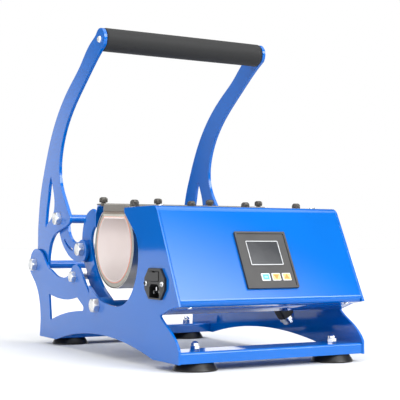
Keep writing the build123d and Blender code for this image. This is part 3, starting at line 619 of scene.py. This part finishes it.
def build_grip():
    outline = [(GRIP_INNER, -GRIP_HALF)]
    outline += [(GRIP_OUTER - inset, along - GRIP_HALF) for inset, along in GRIP_END]
    crowned = 2 * (GRIP_HALF - GRIP_CROWN_START)
    for i in range(GRIP_STATIONS):
        sag = GRIP_CROWN * (1 - sin(pi * (i + 1) / GRIP_STATIONS))
        outline.append((GRIP_OUTER - sag, crowned * (i / (GRIP_STATIONS - 1) - 0.5)))
    outline += [(GRIP_OUTER - inset, GRIP_HALF - along) for inset, along in reversed(GRIP_END)]
    outline.append((GRIP_INNER, GRIP_HALF))
    bm = bmesh.new()
    lathe(bm, outline, across(TO_RIGHT, 0, *GRIP_AXIS), segments=72)
    grip = piece("foam_grip_rolled", bm, "lever", FINISHES["foam"], smooth_angle=50)
    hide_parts("foam_grip")


# ---- Suction feet: hollow lip, cone, collar and neck, as (radius, height) ----
FOOT_PROFILE = [(9.0, 3.2), (14.5, 3.0), (19.8, 1.2), (22.4, 0.0), (24.2, 0.0), (24.9, 0.5), (25.0, 1.2),
                (24.5, 2.2), (23.2, 4.3), (21.8, 6.4), (20.6, 8.2), (19.9, 9.0), (19.1, 9.3), (17.6, 9.4),
                (17.1, 9.7), (16.9, 10.7), (16.4, 11.2), (12.0, 11.6), (11.0, 12.2), (10.5, 13.2),
                (10.5, 19.8)]


def build_feet():
    bm = bmesh.new()
    for y in FOOT_YS:
        for x in (-FOOT_X, FOOT_X):
            lathe(bm, FOOT_PROFILE, upright(x, y), segments=72)
    feet = piece("suction_feet_moulded", bm, "stand", FINISHES["foot_rubber"],
                 smooth_angle=50)
    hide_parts("suction_feet")


# ---- Screen frame and glass ----
SCREEN_X, SCREEN_UP, SCREEN_WIDTH, SCREEN_HEIGHT = 1.0, 63.3, 44.4, 32.3
BEZEL_LEVEL = 1.9


def screen_rim(name, outer, inner, rise, finish):
    """Flat rim on the bezel with softened edges. outer and inner are its (width, height)."""
    outer_edge, inner_edge = rounded_rectangle(*outer, 1.0), rounded_rectangle(*inner, 0.4)
    outer_top = rounded_rectangle(outer[0] - 0.3, outer[1] - 0.3, 0.9)
    inner_top = rounded_rectangle(inner[0] + 0.3, inner[1] + 0.3, 0.5)
    bm = bmesh.new()
    rim(bm, [(outer_edge, BEZEL_LEVEL), (outer_edge, rise - 0.1), (outer_top, rise),
             (inner_top, rise), (inner_edge, rise - 0.1), (inner_edge, BEZEL_LEVEL)],
        on_face(SCREEN_X, SCREEN_UP))
    piece(name, bm, "stand", finish, smooth_angle=30)


def build_screen():
    width, height = SCREEN_WIDTH, SCREEN_HEIGHT
    screen_rim("screen_gasket", (width + 1.6, height + 1.6), (width - 0.7, height - 1.6), 2.2,
               FINISHES["black_plastic"])
    screen_rim("screen_frame", (width - 0.5, height - 1.4), (width - 2.3, height - 3.2), 2.4, FRAME_GREY)
    pane = rounded_rectangle(width - 0.6, height - 0.6, 0.5)
    pane_top = rounded_rectangle(width - 1.0, height - 1.0, 0.4)
    bm = bmesh.new()
    slab(bm, [(pane, 0.2), (pane, 1.75), (pane_top, 1.95)], on_face(SCREEN_X, SCREEN_UP))
    glass = piece("screen_glass", bm, "stand", FINISHES["screen_window"], smooth_angle=30)
    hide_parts("display_window")


# ---- Keys: a white cap with a flange and a stem, a coloured field and a raised mark ----
KEYS = {"set_button": (-6.2, "button_blue"), "down_button": (8.0, "button_orange"),
        "up_button": (22.2, "button_orange")}
KEY_ROW = 32.5
# Parts of a key from the stem up: (width, height, corner radius, level)
KEY_STEM = [(4, 4, 0.3, -7.0), (4, 4, 0.3, -2.4)]
KEY_CAP = [(13.0, 11.0, 1.5, -2.4), (13.0, 11.0, 1.5, -1.3), (11.2, 9.2, 0.8, -1.2), (11.2, 9.2, 0.8, 2.3),
           (11.0, 9.0, 0.7, 2.6), (10.6, 8.6, 0.6, 2.7)]
KEY_FIELD = [(9.8, 7.8, 0.5, 2.6), (9.8, 7.8, 0.5, 2.76)]
MARK_FOOT, MARK_TOP = 2.7, 2.86


def key_slab(bm, rows, place):
    slab(bm, [(rounded_rectangle(*outline), level) for *outline, level in rows], place)


def ring_mark(bm, place):
    outer, inner = rounded_rectangle(7.4, 5.4, 1.0), rounded_rectangle(4.6, 2.6, 0.5)
    rim(bm, [(outer, MARK_FOOT), (outer, MARK_TOP), (inner, MARK_TOP), (inner, MARK_FOOT)], place)


def arrow_mark(bm, place, way):
    """Triangle with a blunt point, up for way 1 and down for way -1."""
    outline = [(-3.6, -2.6 * way), (3.6, -2.6 * way), (0.5, 2.9 * way), (-0.5, 2.9 * way)]
    slab(bm, [(outline, MARK_FOOT), (outline, MARK_TOP)], place)


def build_keys():
    for node, (x, slot) in KEYS.items():
        place = on_face(x, KEY_ROW)
        bm = bmesh.new()
        key_slab(bm, KEY_CAP, place)
        key_slab(bm, KEY_STEM, place)
        cap = piece(node + "_cap", bm, node, KEY_WHITE, smooth_angle=40)
        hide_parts(node)
        bm = bmesh.new()
        key_slab(bm, KEY_FIELD, place)
        piece(node + "_field", bm, node, KEY_FIELDS[slot], smooth_angle=30)
        bm = bmesh.new()
        if node == "set_button":
            ring_mark(bm, place)
        else:
            arrow_mark(bm, place, 1 if node == "up_button" else -1)
        piece(node + "_mark", bm, node, FINISHES[slot], smooth_angle=30)


# ---- Heating sleeve: a wrap in layers from the fixed front lip round to the rear lip on the swinging jaw, built as one still shape ----
SLEEVE_Y, SLEEVE_Z = -49.0, 137.0
BORE_Y, BORE_Z = 47.5, 43.0
REAR_LIP_Y, FRONT_LIP_Y, LIP_Z = -21.5, -77.5, 170.5
WRAP_STEPS, WRAP_STATIONS = 132, 20
# Layers outwards: name, inner and outer distance from the bore, half length, finish, slot, softening of the
# ends, crown of the ends, and the CAD nodes that it stands for
LAYERS = [
    ("heating_mat_wrap", 0.0, 2.0, 120.0, FINISHES["heating_mat"], "heating_mat", 0.4, 0.0,
     ["sleeve_front_mat", "sleeve_rear_mat"]),
    ("sealant_line", 1.75, 2.9, 119.9, SEALANT, "heating_mat", 0.3, 0.35, []),
    ("sponge_wrap", 2.6, 7.95, 119.6, FINISHES["silicone_sponge"], "silicone_sponge", 0.6, 0.0,
     ["sleeve_front_sponge", "sleeve_rear_sponge"]),
    # This near-black layer paints the shadow in the gap between sponge and band
    ("painted_gap_shadow", 7.9, 8.8, 119.8, GAP_SHADOW_BLACK, "silicone_sponge", 0.1, 0.0, []),
    ("band_wrap", 8.7, 9.5, 120.0, LIT_BAND_STEEL, "stainless", 0.1, 0.0,
     ["sleeve_front_band", "sleeve_rear_band"]),
]


def oval_at(angle, grow):
    return SLEEVE_Y + (BORE_Y + grow) * cos(angle), SLEEVE_Z + (BORE_Z + grow) * sin(angle)


def wrap_angles():
    """From the rear lip, down round the bottom, to the front lip."""
    lip = (LIP_Z - SLEEVE_Z) / BORE_Z
    start = atan2(lip, (REAR_LIP_Y - SLEEVE_Y) / BORE_Y)
    end = atan2(lip, (FRONT_LIP_Y - SLEEVE_Y) / BORE_Y) - 2 * pi
    return [start + (end - start) * i / WRAP_STEPS for i in range(WRAP_STEPS + 1)]


def wrap_section(inner, outer, half, edge, crown):
    """Section of a layer as (distance from the bore, x): left end, outside, right end, inside."""
    middle = (inner + outer) / 2
    side = 2 * (half - edge)
    section = [(inner, -half + edge), (inner + edge, -half), (middle, -half - crown), (outer - edge, -half),
               (outer, -half + edge)]
    section += [(outer, -half + edge + side * i / WRAP_STATIONS) for i in range(1, WRAP_STATIONS)]
    section += [(outer, half - edge), (outer - edge, half), (middle, half + crown), (inner + edge, half),
                (inner, half - edge)]
    section += [(inner, half - edge - side * i / WRAP_STATIONS) for i in range(1, WRAP_STATIONS)]
    return section


def build_sleeve():
    for name, inner, outer, half, finish, slot, edge, crown, stands_for in LAYERS:
        section = wrap_section(inner, outer, half, edge, crown)
        bm = bmesh.new()
        rows = []
        for angle in wrap_angles():
            row = []
            for grow, x in section:
                y, z = oval_at(angle, grow)
                row.append(bm.verts.new(Vector((x, y, z)) * MM))
            rows.append(row)
        capped_rows(bm, rows)
        layer = piece(name, bm, None, finish, smooth_angle=40)
        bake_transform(layer)
        if stands_for:
            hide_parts(*stands_for)


# ---- The band's two flanges, by which the clamp screws hold it, as open lines of (y, z) ----
FLANGE_HALF, FLANGE_THICKNESS = 119.9, 0.8
FRONT_FLANGE = [(-84.8, 176.4), (-88.5, 177.0), (-105.9, 177.0)]
REAR_FLANGE = [(-13.6, 176.8), (-16.4, 178.3), (-17.6, 180.2), (-18.0, 188.4)]


def flange(name, body, points, thickness, smooth_angle):
    """Bent strip along the mouth. A positive thickness lies to the left of the line of points."""
    sides = []
    for i, (y, z) in enumerate(points):
        before, after = points[max(i - 1, 0)], points[min(i + 1, len(points) - 1)]
        dy, dz = after[0] - before[0], after[1] - before[1]
        length = hypot(dy, dz)
        sides.append((y - dz / length * thickness, z + dy / length * thickness))
    outline = points + sides[::-1]
    bm = bmesh.new()
    capped_rows(bm, [[bm.verts.new(Vector((x, y, z)) * MM) for y, z in outline]
                     for x in (-FLANGE_HALF, FLANGE_HALF)])
    piece(name, bm, body, FINISHES["stainless"], smooth_angle)


def build_flanges():
    flange("front_band_flange", "stand", FRONT_FLANGE, -FLANGE_THICKNESS, 30)
    flange("rear_band_flange", "jaw", REAR_FLANGE, FLANGE_THICKNESS, 50)


finish_cad_nodes()
build_camera()
build_floor()
build_light()
build_soft_edges()
build_bolts()
build_clamp_screws()
build_grip()
build_feet()
build_screen()
build_keys()
build_sleeve()
build_flanges()
